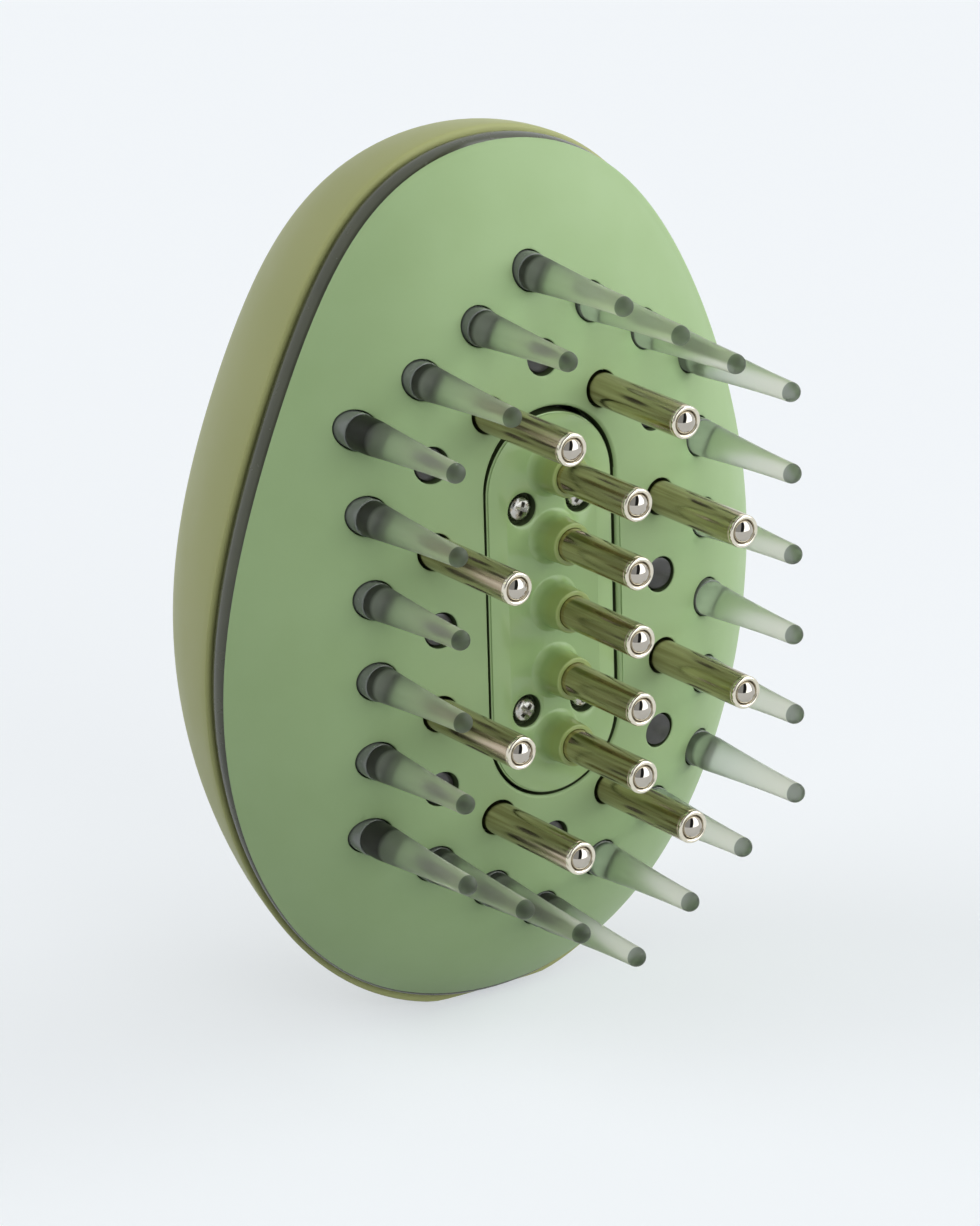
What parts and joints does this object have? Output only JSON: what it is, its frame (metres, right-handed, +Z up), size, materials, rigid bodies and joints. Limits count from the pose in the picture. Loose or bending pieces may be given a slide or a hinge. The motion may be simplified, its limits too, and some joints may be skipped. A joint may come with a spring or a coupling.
{
  "type": "electric scalp massager",
  "caption": "Palm-held egg-shaped scalp massager with clear light pins and metal roller-ball prongs on its face, a smoked seam band and a domed back with a power button.",
  "frame": {"origin": "on the ground plane under the middle of the body's depth, with the massager standing on its foot", "axes": "+Z up along the body's length, +Y towards the domed back, prongs pointing along -Y, +X to the right seen from the prongs"},
  "size_m": [0.0764, 0.067, 0.1087],
  "materials": {
    "sage_plastic": "satin",
    "glossy_sage_plastic": "gloss",
    "olive_plastic": "satin",
    "smoked_plastic": "gloss",
    "clear_plastic": "gloss",
    "polished_metal": "polished",
    "chromed_steel": "polished",
    "screw_steel": "satin",
    "board_laminate": "satin",
    "frame_plastic": "matte",
    "battery_foil": "satin"
  },
  "bodies": {
    "housing": {"front_cover": "sage_plastic", "seam_band": "smoked_plastic", "back_shell": "olive_plastic", "centre_plate": "glossy_sage_plastic", "centre_prong_1": "polished_metal", "centre_prong_2": "polished_metal", "centre_prong_3": "polished_metal", "centre_prong_4": "polished_metal", "centre_prong_5": "polished_metal", "side_prong_1": "polished_metal", "side_prong_2": "polished_metal", "side_prong_3": "polished_metal", "side_prong_4": "polished_metal", "side_prong_5": "polished_metal", "side_prong_6": "polished_metal", "side_prong_7": "polished_metal", "side_prong_8": "polished_metal", "light_guide_left": "clear_plastic", "light_guide_right": "clear_plastic", "light_guide_top": "clear_plastic", "light_guide_bottom": "clear_plastic", "led_board": "board_laminate", "inner_frame": "frame_plastic", "battery": "battery_foil", "motor": "screw_steel", "main_board": "board_laminate", "tact_switch": "frame_plastic", "charging_socket": "chromed_steel", "plate_screw_1": "screw_steel", "plate_screw_2": "screw_steel", "plate_screw_3": "screw_steel", "plate_screw_4": "screw_steel", "frame_screw_1": "screw_steel", "frame_screw_2": "screw_steel", "frame_screw_3": "screw_steel", "frame_screw_4": "screw_steel", "board_screw_1": "screw_steel", "board_screw_2": "screw_steel", "board_screw_3": "screw_steel", "board_screw_4": "screw_steel"},
    "centre_roller_1": {"centre_ball_1": "chromed_steel"},
    "centre_roller_2": {"centre_ball_2": "chromed_steel"},
    "centre_roller_3": {"centre_ball_3": "chromed_steel"},
    "centre_roller_4": {"centre_ball_4": "chromed_steel"},
    "centre_roller_5": {"centre_ball_5": "chromed_steel"},
    "side_roller_1": {"side_ball_1": "chromed_steel"},
    "side_roller_2": {"side_ball_2": "chromed_steel"},
    "side_roller_3": {"side_ball_3": "chromed_steel"},
    "side_roller_4": {"side_ball_4": "chromed_steel"},
    "side_roller_5": {"side_ball_5": "chromed_steel"},
    "side_roller_6": {"side_ball_6": "chromed_steel"},
    "side_roller_7": {"side_ball_7": "chromed_steel"},
    "side_roller_8": {"side_ball_8": "chromed_steel"},
    "button": {"power_button": "glossy_sage_plastic"},
    "rotor": {"motor_rotor": "screw_steel"}
  },
  "joints": [
    {"name": "centre_roller_spin_1", "type": "hinge", "parent": "housing", "child": "centre_roller_1", "pos_m": [0, -0.03201, 0.0706], "axis": [1, 0, 0], "continuous": true},
    {"name": "centre_roller_spin_2", "type": "hinge", "parent": "housing", "child": "centre_roller_2", "pos_m": [0, -0.03201, 0.06225], "axis": [1, 0, 0], "continuous": true},
    {"name": "centre_roller_spin_3", "type": "hinge", "parent": "housing", "child": "centre_roller_3", "pos_m": [0, -0.03201, 0.0539], "axis": [1, 0, 0], "continuous": true},
    {"name": "centre_roller_spin_4", "type": "hinge", "parent": "housing", "child": "centre_roller_4", "pos_m": [0, -0.03201, 0.04555], "axis": [1, 0, 0], "continuous": true},
    {"name": "centre_roller_spin_5", "type": "hinge", "parent": "housing", "child": "centre_roller_5", "pos_m": [0, -0.03201, 0.0372], "axis": [1, 0, 0], "continuous": true},
    {"name": "side_roller_spin_1", "type": "hinge", "parent": "housing", "child": "side_roller_1", "pos_m": [-0.00805, -0.03056, 0.07855], "axis": [1, 0, 0], "continuous": true},
    {"name": "side_roller_spin_2", "type": "hinge", "parent": "housing", "child": "side_roller_2", "pos_m": [-0.0161, -0.03056, 0.06355], "axis": [1, 0, 0], "continuous": true},
    {"name": "side_roller_spin_3", "type": "hinge", "parent": "housing", "child": "side_roller_3", "pos_m": [-0.0161, -0.03056, 0.04355], "axis": [1, 0, 0], "continuous": true},
    {"name": "side_roller_spin_4", "type": "hinge", "parent": "housing", "child": "side_roller_4", "pos_m": [-0.00805, -0.03056, 0.02855], "axis": [1, 0, 0], "continuous": true},
    {"name": "side_roller_spin_5", "type": "hinge", "parent": "housing", "child": "side_roller_5", "pos_m": [0.00805, -0.03056, 0.07855], "axis": [1, 0, 0], "continuous": true},
    {"name": "side_roller_spin_6", "type": "hinge", "parent": "housing", "child": "side_roller_6", "pos_m": [0.0161, -0.03056, 0.06355], "axis": [1, 0, 0], "continuous": true},
    {"name": "side_roller_spin_7", "type": "hinge", "parent": "housing", "child": "side_roller_7", "pos_m": [0.0161, -0.03056, 0.04355], "axis": [1, 0, 0], "continuous": true},
    {"name": "side_roller_spin_8", "type": "hinge", "parent": "housing", "child": "side_roller_8", "pos_m": [0.00805, -0.03056, 0.02855], "axis": [1, 0, 0], "continuous": true},
    {"name": "power_button_press", "type": "slide", "parent": "housing", "child": "button", "axis": [0, -1, 0], "range_m": [0, 0.0006], "stiffness_N_per_m": 2500},
    {"name": "motor_spin", "type": "hinge", "parent": "housing", "child": "rotor", "pos_m": [0, 0.00529, 0.0789], "axis": [1, 0, 0], "continuous": true}
  ]
}
